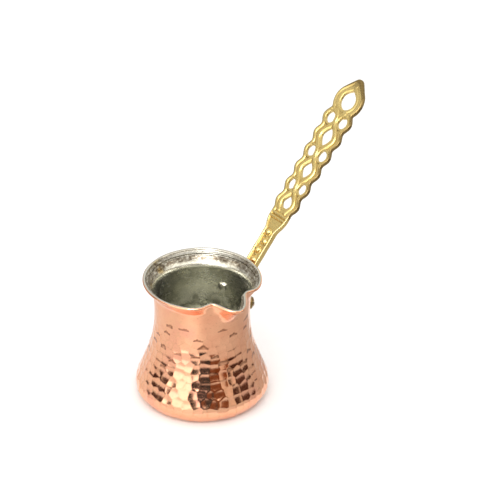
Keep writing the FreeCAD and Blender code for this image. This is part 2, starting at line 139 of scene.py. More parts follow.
def wall_curve():
    """(radius, height) up the outside of the wall, from the edge of the resting face to the rim."""
    turn = np.linspace(-math.pi / 2, BELLY_LEAN, CORNER_STEPS)
    corner = np.stack(
        [FOOT_RADIUS + CORNER_RADIUS * np.cos(turn), CORNER_RADIUS * (1 + np.sin(turn))], axis=1
    )
    radius, height = corner[-1]
    leaning = (radius - BELLY_PULL * math.sin(BELLY_LEAN), height + BELLY_PULL * math.cos(BELLY_LEAN))
    neck = (NECK_RADIUS, NECK_HEIGHT)
    waist = bezier(((radius, height), leaning, (neck[0], neck[1] - WAIST_PULL), neck), 120)
    crease = np.array([NECK_RADIUS + CREASE_STEP, RIM_HEIGHT - CREASE_DEPTH])
    below = crease - (0.05, CREASE_BEND)
    rim = np.array([MOUTH_RADIUS - RIM_INSET, RIM_HEIGHT - RIM_DROP])
    slope = (rim - crease) / np.linalg.norm(rim - crease)
    above = crease + CREASE_BEND * slope
    throat = bezier((neck, (neck[0], neck[1] + THROAT_PULL), below - (0.1, CREASE_PULL), below), 60)
    reach = 0.6 * CREASE_BEND
    bend = bezier((below, below + (0.03, reach), above - reach * slope, above), 30)
    flare = above + (rim - above) * np.linspace(0, 1, 31)[1:, None]
    return np.concatenate([corner, waist, throat, bend, flare])


class Wall:
    """The pot's wall, unrolled: a station is a distance along it from the edge of the resting face."""

    def __init__(self):
        curve = wall_curve()
        steps = np.linalg.norm(np.diff(curve, axis=0), axis=1)
        self.run = np.concatenate([[0], np.cumsum(steps)])
        self.curve = curve
        slope = np.gradient(curve, self.run, axis=0)
        slope /= np.linalg.norm(slope, axis=1)[:, None]
        self.normal = np.stack([slope[:, 1], -slope[:, 0]], axis=1)
        self.length = self.run[-1]

    def at(self, run):
        """Radius, height and outward normal at distances along the wall."""
        return [np.interp(run, self.run, column) for column in (*self.curve.T, *self.normal.T)]

    def surface(self, run, azimuth, depth, along=0.0):
        """Points at depth under the outside, and along past the station. Inputs broadcast together."""
        radius, height, out, up = self.at(run)
        outward, upward = spout_change(azimuth, height)
        step = 0.05
        growth = (spout_change(azimuth + step, height)[0] - outward) / math.radians(step)
        reach = radius + outward
        turn = np.radians(azimuth)
        swing = turn - np.arctan2(growth, reach)
        inset = depth * out + along * up
        x = reach * np.cos(turn) - inset * np.cos(swing)
        y = reach * np.sin(turn) - inset * np.sin(swing)
        z = height + along * out - depth * up + upward
        return np.stack(np.broadcast_arrays(x, y, z), axis=-1)


def bump(offset, spread):
    """Bell curve, 1 in the middle."""
    return np.exp(-((offset / spread) ** 2))


def smooth_step(value, low, high):
    """From 0 at low to 1 at high, level at both ends."""
    share = np.clip((value - low) / (high - low), 0, 1)
    return share * share * (3 - 2 * share)


def spout_change(azimuth, height):
    """(outward, upward) change that the spout makes to the round wall."""
    offset = (azimuth - SPOUT_AZIMUTH + 180.0) % 360.0 - 180.0
    pinch = sum(depth * bump(offset - place, PINCH_SPREAD) for place, depth in PINCHES)
    pinch = pinch * smooth_step(height, PINCH_START, RIM_HEIGHT - BEAD)
    lip = bump(offset, SPOUT_SPREAD) * smooth_step(height, SPOUT_START, RIM_HEIGHT - BEAD)
    return SPOUT_REACH * lip - pinch, PINCH_RISE * pinch - LIP_DROP * lip


def hammer_blows(wall, run, azimuth, curve=BLOW_CURVE, seed=1):
    """Height over the mean, closeness to a ridge, and a mask for painted shade in the lap above a few blows,
    on a run by azimuth grid.
    """
    dice = np.random.default_rng(SEED + seed)
    near = np.full((len(run), len(azimuth)), 1e9)
    second = near.copy()
    dash = np.zeros_like(near)
    spots = np.arange(0.6 * ROW_PITCH, wall.length, ROW_PITCH)
    for row, spot in enumerate(spots):
        radius = float(wall.at(spot)[0])
        count = max(12, round(2 * math.pi * radius / BLOW_PITCH))
        spacing = 360.0 / count
        start = (row % 2) * spacing / 2 + dice.uniform(-0.2, 0.2) * spacing
        sideways = dice.normal(0, BLOW_SCATTER[0] * spacing, count)
        upways = dice.normal(0, BLOW_SCATTER[1] * ROW_PITCH, count)
        extra = dice.uniform(-BLOW_SCATTER[2], BLOW_SCATTER[2], count)
        tilt = dice.normal(0, BLOW_TILT, (2, count))
        luck = dice.uniform(0, 1, count) * (np.arange(count) % 2)
        rows = np.nonzero(np.abs(run - spot) < 1.7 * ROW_PITCH)[0]
        nearest = np.round((azimuth - start) / spacing).astype(int)
        for step in (-1, 0, 1):
            index = (nearest + step) % count
            offset = azimuth - start - (nearest + step) * spacing - sideways[index]
            across = np.radians(offset) * radius
            up = run[rows][:, None] - spot - upways[index][None, :]
            rise = curve * (across[None, :] ** 2 + up**2) + extra[index][None, :]
            rise += tilt[0][index][None, :] * across[None, :] + tilt[1][index][None, :] * up
            best = near[rows]
            upper = (up > 0.22 * ROW_PITCH) * luck[index][None, :]
            dash[rows] = np.where(rise < best, upper, dash[rows])
            second[rows] = np.minimum(second[rows], np.maximum(best, rise))
            near[rows] = np.minimum(best, rise)
    gap = second - near
    ridge = np.exp(-(gap / RIDGE_WIDTH))
    # mask for painted shade: near-black in the lap above some blows, where the reflected light breaks
    lap_shade = smooth_step(dash, LAP_LUCK, LAP_LUCK + 0.02) * np.minimum(1, 1.5 * np.exp(-(gap / 0.36)))
    return near - curve * (BLOW_PITCH / 2) ** 2 * 0.66, ridge, lap_shade


def disc_ring(radius, turn, height):
    """Ring of points round the axis."""
    return np.stack([radius * np.cos(turn), radius * np.sin(turn), height + 0 * turn], axis=1)


def ring_mesh(name, rings, columns, close_start, close_end, material):
    """Closed surface through rings of points; close_start and close_end are the points on the axis."""
    points = np.concatenate([*rings, [close_start], [close_end]])
    count = len(rings)
    faces = grid_faces(count, columns).tolist()
    start, end = count * columns, count * columns + 1
    faces += fan(start, np.arange(columns), True)
    faces += fan(end, np.arange(columns) + (count - 1) * columns, False)
    return mesh(name, points, faces, material)


def pot_body(wall, material):
    """Copper sheet: hammered outside, rolled rim, plain inside face hidden under the tin."""
    columns = 440
    azimuth = np.arange(columns) * 360.0 / columns
    around = azimuth[None, :]
    run = np.linspace(0, wall.length, 150)
    rise, ridge, lap_shade = hammer_blows(wall, run, azimuth)
    height = wall.at(run)[1]
    fade = smooth_step(run, 0.5, 4.5) * (1 - 0.96 * smooth_step(height, HAMMER_FADE, HAMMER_TOP))
    outside = wall.surface(run[:, None], around, -rise * fade[:, None])
    radii = np.linspace(0, FOOT_RADIUS, 7)[1:-1]
    turn = np.radians(azimuth)
    base = [disc_ring(r, turn, BASE_HOLLOW * (1 - (r / FOOT_RADIUS) ** 4)) for r in radii]
    stand = math.sqrt(BEAD**2 - (WALL / 2) ** 2)
    start = math.asin(WALL / 2 / BEAD)
    roll = np.linspace(start, 2 * math.pi - start, 13)[1:-1, None]
    depth = WALL / 2 - BEAD * np.sin(roll)
    bead = wall.surface(wall.length, around, depth, stand - BEAD * np.cos(roll))
    inner_run = np.concatenate([np.linspace(wall.length, 20, 26), np.linspace(15, 0, 6)])
    inside = wall.surface(inner_run[:, None], around, WALL)
    rings = [*base, *outside, *bead, *inside]
    piece = ring_mesh("pot_copper", rings, columns, (0, 0, BASE_HOLLOW), (0, 0, WALL), material)
    before, after = np.zeros(len(base) * columns), np.zeros((len(bead) + len(inside)) * columns + 2)
    # band of heights where the painted shade in the laps shows
    lap_shade_band = smooth_step(height, *LAP_HEIGHTS[:2]) * (1 - smooth_step(height, LAP_HEIGHTS[2], HAMMER_TOP))
    tinned = np.concatenate(
        [
            np.zeros((len(base) + len(outside)) * columns),
            np.repeat(smooth_step(np.linspace(0, 1, len(bead)), 0.35, 0.75), columns),
            np.ones(len(inside) * columns + 2),
        ]
    )
    # The ridge and lap masks stored here carry painted shade for the copper.
    store(piece, "ridge", np.concatenate([before, (ridge * fade[:, None]).ravel(), after]))
    store(piece, "lap_shade", np.concatenate([before, (lap_shade * lap_shade_band[:, None]).ravel(), after]))
    store(piece, "tinned", tinned)
    return piece


def tin_lining(wall, material):
    """Thin tin coat with soft hammer marks showing through and a fine bead worked just inside the rim."""
    columns = 400
    azimuth = np.arange(columns) * 360.0 / columns
    around = azimuth[None, :]
    near_rim = np.linspace(wall.length - 0.02, wall.length - 4.0, 22)
    run = np.concatenate([near_rim, np.linspace(wall.length - 4.4, 0, 118)])
    rise = hammer_blows(wall, run, azimuth, curve=0.012, seed=5)[0]
    height = wall.at(run)[1]
    fade = smooth_step(run, 1.0, 8.0) * (1 - smooth_step(height, 44.0, 61.0))
    from_rim = wall.length - run
    worked = sum(size * bump(from_rim - place, width) for size, place, width in RIM_RINGS)
    depth = WALL + TIN + np.clip(rise * fade[:, None], -0.1, 1) + worked[:, None]
    inside = wall.surface(run[:, None], around, depth)
    outer_run = np.concatenate([np.linspace(0, 15, 5), np.linspace(20, wall.length, 20)])
    outside = wall.surface(outer_run[:, None], around, WALL + SKIN_GAP)
    turn = np.radians(azimuth)
    radii = np.linspace(FOOT_RADIUS, 0, 12)[1:-1]
    floor = []
    for r in radii:
        ripple = 0.05 * np.cos(2 * math.pi * r / 5.2) * (1 + 0.3 * np.sin(9 * turn + r))
        floor.append(disc_ring(r, turn, WALL + TIN + ripple + 0.05))
    under = [disc_ring(r, turn, WALL + SKIN_GAP) for r in radii[::-3]]
    rings = [*floor[::-1], *inside[::-1], *outside[::-1], *under[::-1]]
    ends = (0, 0, WALL + TIN + 0.05), (0, 0, WALL + SKIN_GAP)
    piece = ring_mesh("tin_coat", rings, columns, *ends, material)
    piece.data.flip_normals()
    return piece


# ---- handle, drawn flat: x along, y across, z up
class Clay:
    """Overlapping closed solids, in millimetres, that are later melted into one casting."""

    def __init__(self):
        self.points = []
        self.faces = []
        self.count = 0

    def add(self, points, faces):
        self.points.append(np.asarray(points, float))
        self.faces += [[int(i) + self.count for i in face] for face in faces]
        self.count += len(points)


def slab(left, right, tops, low, closed=False):
    """Closed solid between two edge lines; tops is its height at each station and place across."""
    stations, across = tops.shape
    share = np.linspace(0, 1, across)[None, :, None]
    top = left[:, None, :] * (1 - share) + right[:, None, :] * share
    top = np.concatenate([top, tops[:, :, None]], axis=2)
    bottom = top[:, ::-1].copy()
    bottom[:, :, 2] = low
    loops = np.concatenate([top, bottom], axis=1)
    columns = 2 * across
    faces = grid_faces(stations, columns).tolist()
    if closed:
        last = (stations - 1) * columns
        index = np.arange(columns)
        following = (index + 1) % columns
        faces += np.stack([last + index, last + following, following, index], axis=1).tolist()
    else:
        faces.append(list(range(columns))[::-1])
        faces.append([(stations - 1) * columns + i for i in range(columns)])
    return loops.reshape(-1, 3), faces


def edge_closeness(points):
    """How near flat points lie to the outside edge of the openwork and the eye, from 0 to 1, weaker on the
    shank, stronger towards the eye's tip and 0.75 over the foot: the mask for the brass's painted shade.
    """
    along, across = points[:, 0], np.abs(points[:, 1])
    strands = half_width(along) - across
    small = HANDLE_LENGTH - EYE_TIP_RADIUS
    lean = math.acos((EYE_HALF - EYE_TIP_RADIUS) / (small - EYE_CENTRE))
    from_side = (along - EYE_CENTRE) * math.cos(lean) + across * math.sin(lean)
    sector = (along - EYE_CENTRE) * math.sin(lean) - across * math.cos(lean)
    round_end = np.hypot(along - EYE_CENTRE, across)
    tip_end = np.hypot(along - small, across) + EYE_HALF - EYE_TIP_RADIUS
    reach = (small - EYE_CENTRE) * math.sin(lean)
    drop = EYE_HALF - np.where(sector < 0, round_end, np.where(sector > reach, tip_end, from_side))
    inside = np.where(along > LACE_END, np.maximum(drop, 0), strands)
    closeness = 1 - smooth_step(inside, 0.0, 1.4 + 0.9 * smooth_step(along, 96.0, 112.0))
    closeness = closeness * (0.25 + 0.75 * smooth_step(along, 24.0, 40.0))
    closeness += 0.55 * smooth_step(along, 106.5, 114.0)
    # painted shadow: the whole foot is darkened
    return np.maximum(closeness, 0.75 * (along < -7.0))


def domed(across, shoulder):
    """Drop below the crown of a rounded cord, at places across it."""
    place = np.linspace(-1, 1, across)
    return shoulder * (1 - np.sqrt(np.clip(1 - np.abs(place) ** 2.6, 0, 1)))


def half_width(along):
    """Half the width of the openwork, scalloped at both edges."""
    middle = LACE_HALF + LACE_WIDENING * (along - WIDTH_PLACE)
    width = middle + SCALLOP * np.cos(4 * math.pi * (along - FIRST_PAIR) / LOOP_PITCH)
    return width * (1 - 0.13 * smooth_step(along, 92.5, 97.5))


def crossing_strand(along):
    """The inner strands lie together between each pair of holes and part round the diamond openings."""
    phase = math.pi * (along - FIRST_PAIR) / LOOP_PITCH
    wave = np.sin(phase)
    reach = DIAMOND_HALF_WIDTH + CORD_GAP + CORD_WIDENING * (along - WIDTH_PLACE)
    return reach * np.sign(wave) * np.abs(wave) ** CORD_CURL + CORD_SWAY * np.cos(phase)


def edges_of(path, along, half):
    """Left and right edge lines of a strand that follows path(along)."""
    slope = (path(along + 0.01) - path(along - 0.01)) / 0.02
    length = np.hypot(1.0, slope)
    normal = np.stack([-slope / length, 1.0 / length], axis=1)
    middle = np.stack([along, path(along)], axis=1)
    half = np.broadcast_to(half, along.shape)[:, None]
    return middle + half * normal, middle - half * normal


def add_strand(clay, path, start, end, half, crown, shoulder, lift=None):
    """Rounded cord along path; lift raises it where it passes over."""
    along = np.linspace(start, end, max(12, int((end - start) / 0.45)))
    left, right = edges_of(path, along, half)
    across = 17
    tops = crown - domed(across, shoulder)[None, :] + (lift(along)[:, None] if lift else 0.0)
    tops = np.broadcast_to(tops, (len(along), across))
    clay.add(*slab(left, right, tops, -THICK / 2))


def over_and_under(side):
    """Strands take turns to pass over each other at the crossings."""

    def lift(along):
        pair = np.round((along - FIRST_PAIR) / LOOP_PITCH)
        near = np.exp(-(((along - FIRST_PAIR - LOOP_PITCH * pair) / 3.4) ** 2))
        return side * np.where(pair % 2 == 0, 0.42, -0.42) * near + 0.1

    return lift


def drop_outline(centre, half, tip, tip_radius, count):
    """Rounded drop, from its round end: a circle at centre drawn out to a small circle that ends at tip."""
    small = tip - tip_radius
    lean = math.acos((half - tip_radius) / (small - centre))
    big_turn = np.linspace(math.pi, lean, 60)
    small_turn = np.linspace(lean, 0, 24)
    x = np.concatenate([centre + half * np.cos(big_turn), small + tip_radius * np.cos(small_turn)])
    y = np.concatenate([half * np.sin(big_turn), tip_radius * np.sin(small_turn)])
    x, y = np.concatenate([x, x[-2:0:-1]]), np.concatenate([y, -y[-2:0:-1]])
    x, y = np.append(x, x[0]), np.append(y, y[0])
    run = np.concatenate([[0], np.cumsum(np.hypot(np.diff(x), np.diff(y)))])
    spots = np.linspace(0, run[-1], count, endpoint=False)
    return np.stack([np.interp(spots, run, x), np.interp(spots, run, y)], axis=1)


def add_eye(clay):
    """Drop-shaped eye: a band with a thick outer edge, a channel, and a ridge round the opening."""
    count, across = 200, 33
    outer = drop_outline(EYE_CENTRE, EYE_HALF, HANDLE_LENGTH, EYE_TIP_RADIUS, count)
    inner = drop_outline(EYE_CENTRE, EYE_HOLE_HALF, EYE_HOLE_TIP, EYE_HOLE_TIP_RADIUS, count)
    share = np.linspace(0, 1, across)
    ridges = 0.6 * bump(share - 0.2, 0.17) + 0.5 * bump(share - 0.78, 0.14)
    shoulder = 1.1 * (1 - np.sqrt(np.clip(1 - np.clip(1 - share / 0.3, 0, 1) ** 2.2, 0, 1)))
    tops = THICK / 2 - 0.45 + ridges - shoulder
    tops = np.broadcast_to(tops[None, :], (count, across))
    clay.add(*slab(outer, inner, tops, -THICK / 2, closed=True))
    add_ball(clay, (HANDLE_LENGTH - 4.4, 0, THICK / 2 - 0.5), (2.2, 1.6, 0.8))


def add_ball(clay, centre, radii):
    """Closed ellipsoid, used for pearls and small bosses."""
    rings, columns = 14, 28
    latitude = np.linspace(-math.pi / 2, math.pi / 2, rings + 1)[1:-1, None]
    turn = (np.arange(columns) * 2 * math.pi / columns)[None, :]
    x = radii[0] * np.cos(latitude) * np.cos(turn)
    y = radii[1] * np.cos(latitude) * np.sin(turn)
    z = radii[2] * np.sin(latitude) + 0 * turn
    points = np.stack([x, y, z], axis=-1).reshape(-1, 3)
    points = np.concatenate([points, [[0, 0, -radii[2]], [0, 0, radii[2]]]]) + np.asarray(centre)
    faces = grid_faces(rings - 1, columns).tolist()
    faces += fan(len(points) - 2, np.arange(columns), True)
    faces += fan(len(points) - 1, np.arange(columns) + (rings - 2) * columns, False)
    clay.add(points, faces)


def add_bar(clay, start, end, half, crown, shoulder=0.7):
    """Straight rounded bar across the handle between two places (x, y)."""
    start, end = np.array(start, float), np.array(end, float)
    share = np.linspace(0, 1, 12)[:, None]
    middle = start + (end - start) * share
    direction = (end - start) / np.linalg.norm(end - start)
    normal = np.array([-direction[1], direction[0]])
    tops = np.broadcast_to(crown - domed(9, shoulder)[None, :], (12, 9))
    clay.add(*slab(middle + half * normal, middle - half * normal, tops, -THICK / 2 + 0.3))


def panel_edge(along):
    """Half width of the shank and of the solid panel that widens from it."""
    share = np.clip((along - SHANK_LENGTH) / (PANEL_END - SHANK_LENGTH), 0, 1)
    return SHANK_HALF + (PANEL_HALF - SHANK_HALF) * np.sin(share * math.pi / 2) ** 1.3


def add_shank(clay):
    """Beaded shank and the triangular panel above it, both with raised borders."""
    floor = THICK / 2 - 0.8
    along = np.linspace(SHANK_ROOT, 33.6, 90)
    edge = panel_edge(along)
    left, right = np.stack([along, edge], axis=1), np.stack([along, -edge], axis=1)
    tops = np.full((len(along), 9), floor)
    clay.add(*slab(left, right, tops, -THICK / 2))
    for side in (-1, 1):
        add_strand(
            clay,
            lambda x: side * (panel_edge(x) - BORDER_HALF),
            SHANK_ROOT,
            33.0,
            BORDER_HALF,
            THICK / 2 + 0.1,
            0.45,
        )
    for number, station in enumerate(PEARLS):
        swing = 0.55 if number % 2 else -0.55
        add_ball(clay, (station, swing, floor - 0.3), (2.15, 2.15, 1.9))
    for number, station in enumerate(GROOVE_BARS):
        slant = 1.5 if number % 2 else -1.5
        add_bar(clay, (station - slant, -2.9), (station + slant, 2.9), 0.35, floor + 0.3, 0.3)
    for station in PANEL_BARS:
        wide = panel_edge(np.array(station)) - 0.4
        add_bar(clay, (station, -wide), (station, wide), 0.78, THICK / 2 + 0.15)
    along = np.linspace(30.0, 34.6, 10)
    left, right = np.stack([along, 0 * along + 6.3], axis=1), np.stack([along, 0 * along - 6.3], axis=1)
    narrow = np.array([[1.0, 1 - max(0.0, (x - 32.0) / 6.0)] for x in along])
    clay.add(*slab(left * narrow, right * narrow, np.full((10, 5), THICK / 2 - 0.75), -THICK / 2))


def prism(outline, low, high):
    """Closed solid over an outline of (x, y) points."""
    count = len(outline)
    points = np.concatenate([np.c_[outline, np.full(count, low)], np.c_[outline, np.full(count, high)]])
    side = np.arange(count)
    following = (side + 1) % count
    faces = np.stack([side, following, following + count, side + count], axis=1).tolist()
    return points, faces + [list(range(count))[::-1], list(range(count, 2 * count))]


def pair_growth(number):
    """How much larger each pair of round holes is than the first."""
    return 1 + 0.05 * number


def lace_holes():
    """Outlines of the openings: a pair of round holes, then a diamond, and so on along the handle."""
    turn = np.linspace(0, 2 * math.pi, 40, endpoint=False)
    outlines = []
    for number in range(3):
        pair = FIRST_PAIR + LOOP_PITCH * number
        grown = pair_growth(number)
        for side in (-1, 1):
            x = pair + HOLE_RADIUS * grown * np.cos(turn)
            y = side * HOLE_OFFSET * grown + HOLE_RADIUS * grown * np.sin(turn)
            outlines.append(np.stack([x, y], axis=1))
        lobe = [np.abs(part) ** DIAMOND_CURL * np.sign(part) for part in (np.cos(turn), np.sin(turn))]
        x = pair - LOOP_PITCH / 2 + DIAMOND_HALF_LENGTHS[number] * lobe[0]
        outlines.append(np.stack([x, DIAMOND_HALF_WIDTH * grown * lobe[1]], axis=1))
    return outlines


def add_web(clay):
    """Plate between the strands, a little below their crowns, pierced by all the openings."""
    along = np.linspace(31.0, LACE_END + 1.5, 150)
    edge = half_width(along) - 0.8
    outline = np.concatenate([np.stack([along, -edge], axis=1), np.stack([along, edge], axis=1)[::-1]])
    plate = solid_object("web", *prism(outline, -THICK / 2, THICK / 2 - 0.55))
    cutters = Clay()
    for hole in lace_holes():
        cutters.add(*prism(hole, -THICK, THICK))
    holes = solid_object("holes", np.concatenate(cutters.points), cutters.faces)
    pierce = plate.modifiers.new("pierce", "BOOLEAN")
    pierce.operation = "DIFFERENCE"
    pierce.object = holes
    points, faces, _ = evaluated(plate)
    bpy.data.objects.remove(plate)
    bpy.data.objects.remove(holes)
    clay.add(points, faces)


def add_lace(clay):
    """Openwork: a pierced web, ringed holes, two cords that cross, and scalloped outer strands."""
    add_web(clay)
    for number in range(3):
        pair = FIRST_PAIR + LOOP_PITCH * number
        grown = pair_growth(number)
        turn = np.linspace(0, 2 * math.pi, 48, endpoint=False)
        circle = np.stack([np.cos(turn), np.sin(turn)], axis=1)
        for side in (-1, 1):
            centre = np.array([pair, side * HOLE_OFFSET * grown])
            inner = centre + circle * HOLE_RADIUS * grown
            outer = centre + circle * (HOLE_RADIUS * grown + 1.25)
            tops = np.broadcast_to(THICK / 2 - domed(9, 0.6)[None, :], (48, 9))
            clay.add(*slab(outer, inner, tops, -THICK / 2 + 0.2, closed=True))
    for side in (-1, 1):
        add_strand(
            clay,
            lambda x: side * (half_width(x) - STRAND_HALF),
            LACE_START - 1.5,
            LACE_END + 2.0,
            STRAND_HALF,
            THICK / 2 + 0.1,
            0.9,
        )
        add_strand(
            clay,
            lambda x: side * crossing_strand(x),
            LACE_START - 0.5,
            LACE_END + 0.5,
            CORD_HALF,
            THICK / 2 + 0.2,
            0.8,
            lift=over_and_under(side),
        )


def into_flat(points):
    """Pot coordinates to the flat handle's own."""
    shifted = points - np.array([SHANK_START[0], 0, SHANK_START[1]])
    along = shifted[:, 0] * math.cos(TILT) + shifted[:, 2] * math.sin(TILT)
    above = -shifted[:, 0] * math.sin(TILT) + shifted[:, 2] * math.cos(TILT)
    return np.stack([along, points[:, 1], above], axis=1)


def out_of_flat(points):
    """Flat handle coordinates to the pot's."""
    x = SHANK_START[0] + points[:, 0] * math.cos(TILT) - points[:, 2] * math.sin(TILT)
    z = SHANK_START[1] + points[:, 0] * math.sin(TILT) + points[:, 2] * math.cos(TILT)
    return np.stack([x, points[:, 1], z], axis=1)


def add_foot(clay):
    """Foot that wraps the neck: a lobe behind each rivet, a bar between them, and a root up to the shank."""
    unrolled = Clay()
    reach = math.radians(RIVET_AZIMUTH) * FOOT_ARC
    place = np.linspace(-reach, reach, 60)
    left = np.stack([place, RIVET_HEIGHT + FOOT_BAR_HALF + 0 * place], axis=1)
    right = np.stack([place, RIVET_HEIGHT - FOOT_BAR_HALF + 0 * place], axis=1)
    tops = FOOT_THICK - 0.1 - np.broadcast_to(domed(13, 0.8)[None, :], (60, 13))
    unrolled.add(*slab(left, right, tops, -0.4))
    for side in (-1, 1):
        turn = np.linspace(0, 2 * math.pi, 60, endpoint=False)
        hub = np.array([side * reach, RIVET_HEIGHT])
        rim = hub + FOOT_LOBE * np.stack([np.cos(turn), np.sin(turn)], axis=1)
        hub = hub * 0.999 + rim * 0.001
        share = np.linspace(0, 1, 15)
        crown = FOOT_THICK * np.sqrt(np.clip(1 - (1 - share) ** 4, 0, 1)) - 0.3 * bump(share - 0.3, 0.1)
        unrolled.add(*slab(rim, hub, np.broadcast_to(crown[None, :], (60, 15)), -0.4, closed=True))
    points = np.concatenate(unrolled.points)
    radius = NECK_RADIUS + 0.05 + points[:, 2]
    turn = points[:, 0] / FOOT_ARC
    rolled = np.stack([radius * np.cos(turn), radius * np.sin(turn), points[:, 1]], axis=1)
    clay.add(into_flat(rolled), unrolled.faces)
    half = THICK / 2
    flat_side = np.array([[-8.5, -half], [-5.0, -half], [-5.0, half], [SHANK_ROOT, half]])
    bent = out_of_flat(np.stack([flat_side[:, 0], 0 * flat_side[:, 0], flat_side[:, 1]], axis=1))
    root = [
        (NECK_RADIUS - 0.4, 50.2),
        (NECK_RADIUS + 1.4, 50.0),
        (NECK_RADIUS + FOOT_THICK + 0.2, 51.4),
        (NECK_RADIUS + FOOT_THICK + 0.5, 55.5),
        *[(p[0], p[2]) for p in bent],
        (NECK_RADIUS - 0.4, 61.4),
    ]
    outline = np.array([[x, y, z] for y in (-SHANK_HALF, SHANK_HALF) for x, z in root])
    count = len(root)
    faces = [list(range(count)), [count + i for i in range(count)][::-1]]
    faces += [[(i + 1) % count, i, count + i, count + (i + 1) % count] for i in range(count)]
    clay.add(into_flat(outline), faces)


def solid_object(name, points, faces):
    """Working object in millimetres, removed again before the scene is finished."""
    data = bpy.data.meshes.new(name)
    data.from_pydata(np.asarray(points).tolist(), [], faces)
    piece = bpy.data.objects.new(name, data)
    bpy.context.scene.collection.objects.link(piece)
    return piece


def evaluated(piece):
    """Points, faces and edges of an object with its modifiers applied."""
    bpy.context.view_layer.update()
    skin = piece.evaluated_get(bpy.context.evaluated_depsgraph_get()).to_mesh()
    points = np.zeros(len(skin.vertices) * 3)
    skin.vertices.foreach_get("co", points)
    faces = [list(p.vertices) for p in skin.polygons]
    edges = np.zeros(len(skin.edges) * 2, dtype=int)
    skin.edges.foreach_get("vertices", edges)
    return points.reshape(-1, 3), faces, edges.reshape(-1, 2)


def melted(clay):
    """One watertight skin over all the overlapping solids, with softened edges."""
    lump = solid_object("clay", np.concatenate(clay.points), clay.faces)
    remesh = lump.modifiers.new("melt", "REMESH")
    remesh.mode = "VOXEL"
    remesh.voxel_size = VOXEL
    soften = lump.modifiers.new("soften", "SMOOTH")
    soften.factor = 0.5
    soften.iterations = 6
    skin = evaluated(lump)
    bpy.data.objects.remove(lump)
    return skin


def hollowness(points, edges, normals, rounds=14):
    """How far each point lies below its smoothed surroundings: positive in grooves, negative on crests."""
    count = len(points)
    sides = np.bincount(edges.ravel(), minlength=count).clip(1)
    soft = points.copy()
    for _ in range(rounds):
        total = np.stack(
            [
                np.bincount(edges[:, 0], soft[edges[:, 1], k], count)
                + np.bincount(edges[:, 1], soft[edges[:, 0], k], count)
                for k in range(3)
            ],
            axis=1,
        )
        soft = 0.4 * soft + 0.6 * total / sides[:, None]
    return np.einsum("ij,ij->i", soft - points, normals)


def cast_handle(wall, material):
    """The whole handle as one skin, thinner towards the lace, a little uneven, and lying on the neck."""
    clay = Clay()
    add_foot(clay)
    add_shank(clay)
    add_lace(clay)
    add_eye(clay)
    points, faces, edges = melted(clay)
    thinning = np.clip((points[:, 0] - SHANK_LENGTH) / (LACE_START - SHANK_LENGTH), 0, 1)
    points[:, 2] *= 1 - (1 - LACE_THICK / THICK) * thinning
    # edge: mask for the painted shade at the outside edges and over the foot
    edge = edge_closeness(points)
    along, across = points[:, 0].copy(), points[:, 1].copy()
    points[:, 0] += 0.03 * np.sin(1.1 * across + 0.5 * along)
    points[:, 1] += 0.03 * np.sin(0.8 * along)
    points[:, 2] += 0.015 * np.sin(0.6 * along + 0.9 * across)
    points = out_of_flat(points)
    reach = np.hypot(points[:, 0], points[:, 1])
    above_foot = wall.curve[CORNER_STEPS:]
    neck = np.interp(points[:, 2], above_foot[:, 1], above_foot[:, 0]) + 0.03
    push = np.where((reach < neck) & (points[:, 2] < FOOT_TOP), neck / reach, 1.0)
    points[:, :2] *= push[:, None]
    piece = mesh("brass_handle", points, faces, material)
    normals = np.zeros(len(points) * 3)
    piece.data.vertices.foreach_get("normal", normals)
    normals = normals.reshape(-1, 3)
    store(piece, "hollow", hollowness(points, edges, normals))
    store(piece, "edge", edge)
    return piece


# ---- rivets
def rivets(material):
    """Two rivets: a domed head inside, a flatter beaten head outside, and the shank between them."""
    inner = NECK_RADIUS - WALL - TIN - 0.15
    outer = NECK_RADIUS + FOOT_THICK + 0.1
    share = np.linspace(0, 1, 12)
    dome = np.sqrt(1 - share**2)
    out_side = [(RIVET_HEAD * s, outer + OUTER_DOME * d) for s, d in zip(share[1:], dome[1:])]
    in_side = [(RIVET_HEAD * s, inner - INNER_DOME * d) for s, d in zip(share[::-1], dome[::-1])][:-1]
    outline = [*out_side, (RIVET_SHANK, outer - 0.05), (RIVET_SHANK, inner + 0.05), *in_side]
    columns = 48
    turn = np.arange(columns) * 2 * math.pi / columns
    clay = Clay()
    for side in (-1, 1):
        dent = 1 + 0.02 * np.sin(5 * turn + side) + 0.015 * np.sin(8 * turn)
        rings = [disc_ring(r * dent, turn, x)[:, (2, 0, 1)] for r, x in outline]
        points = np.concatenate([*rings, [[outer + OUTER_DOME, 0, 0]], [[inner - INNER_DOME, 0, 0]]])
        angle = math.radians(side * RIVET_AZIMUTH)
        x = points[:, 0] * math.cos(angle) - points[:, 1] * math.sin(angle)
        y = points[:, 0] * math.sin(angle) + points[:, 1] * math.cos(angle)
        faces = grid_faces(len(outline), columns)[:, ::-1].tolist()
        faces += fan(len(points) - 2, np.arange(columns), False)
        faces += fan(len(points) - 1, np.arange(columns) + (len(outline) - 1) * columns, True)
        clay.add(np.stack([x, y, points[:, 2] + RIVET_HEIGHT], axis=1), faces)
    return mesh("rivet_pair", np.concatenate(clay.points), clay.faces, material)


# ---- materials
def node(tree, kind, inputs=None, **settings):
    """Shader node; inputs are numbers, colours or the outputs of other nodes."""
    made = tree.nodes.new("ShaderNode" + kind)
    for key, value in settings.items():
        setattr(made, key, value)
    for key, value in (inputs or {}).items():
        if isinstance(value, bpy.types.NodeSocket):
            tree.links.new(value, made.inputs[key])
        else:
            made.inputs[key].default_value = value
    return made


def ramp(tree, factor, stops):
    """Colour ramp through (place, colour) stops."""
    made = node(tree, "ValToRGB", {0: factor})
    elements = made.color_ramp.elements
    while len(elements) < len(stops):
        elements.new(0.5)
    for element, (place, colour) in zip(elements, stops):
        element.position = place
        element.color = (*colour, 1)
    return made.outputs["Color"]


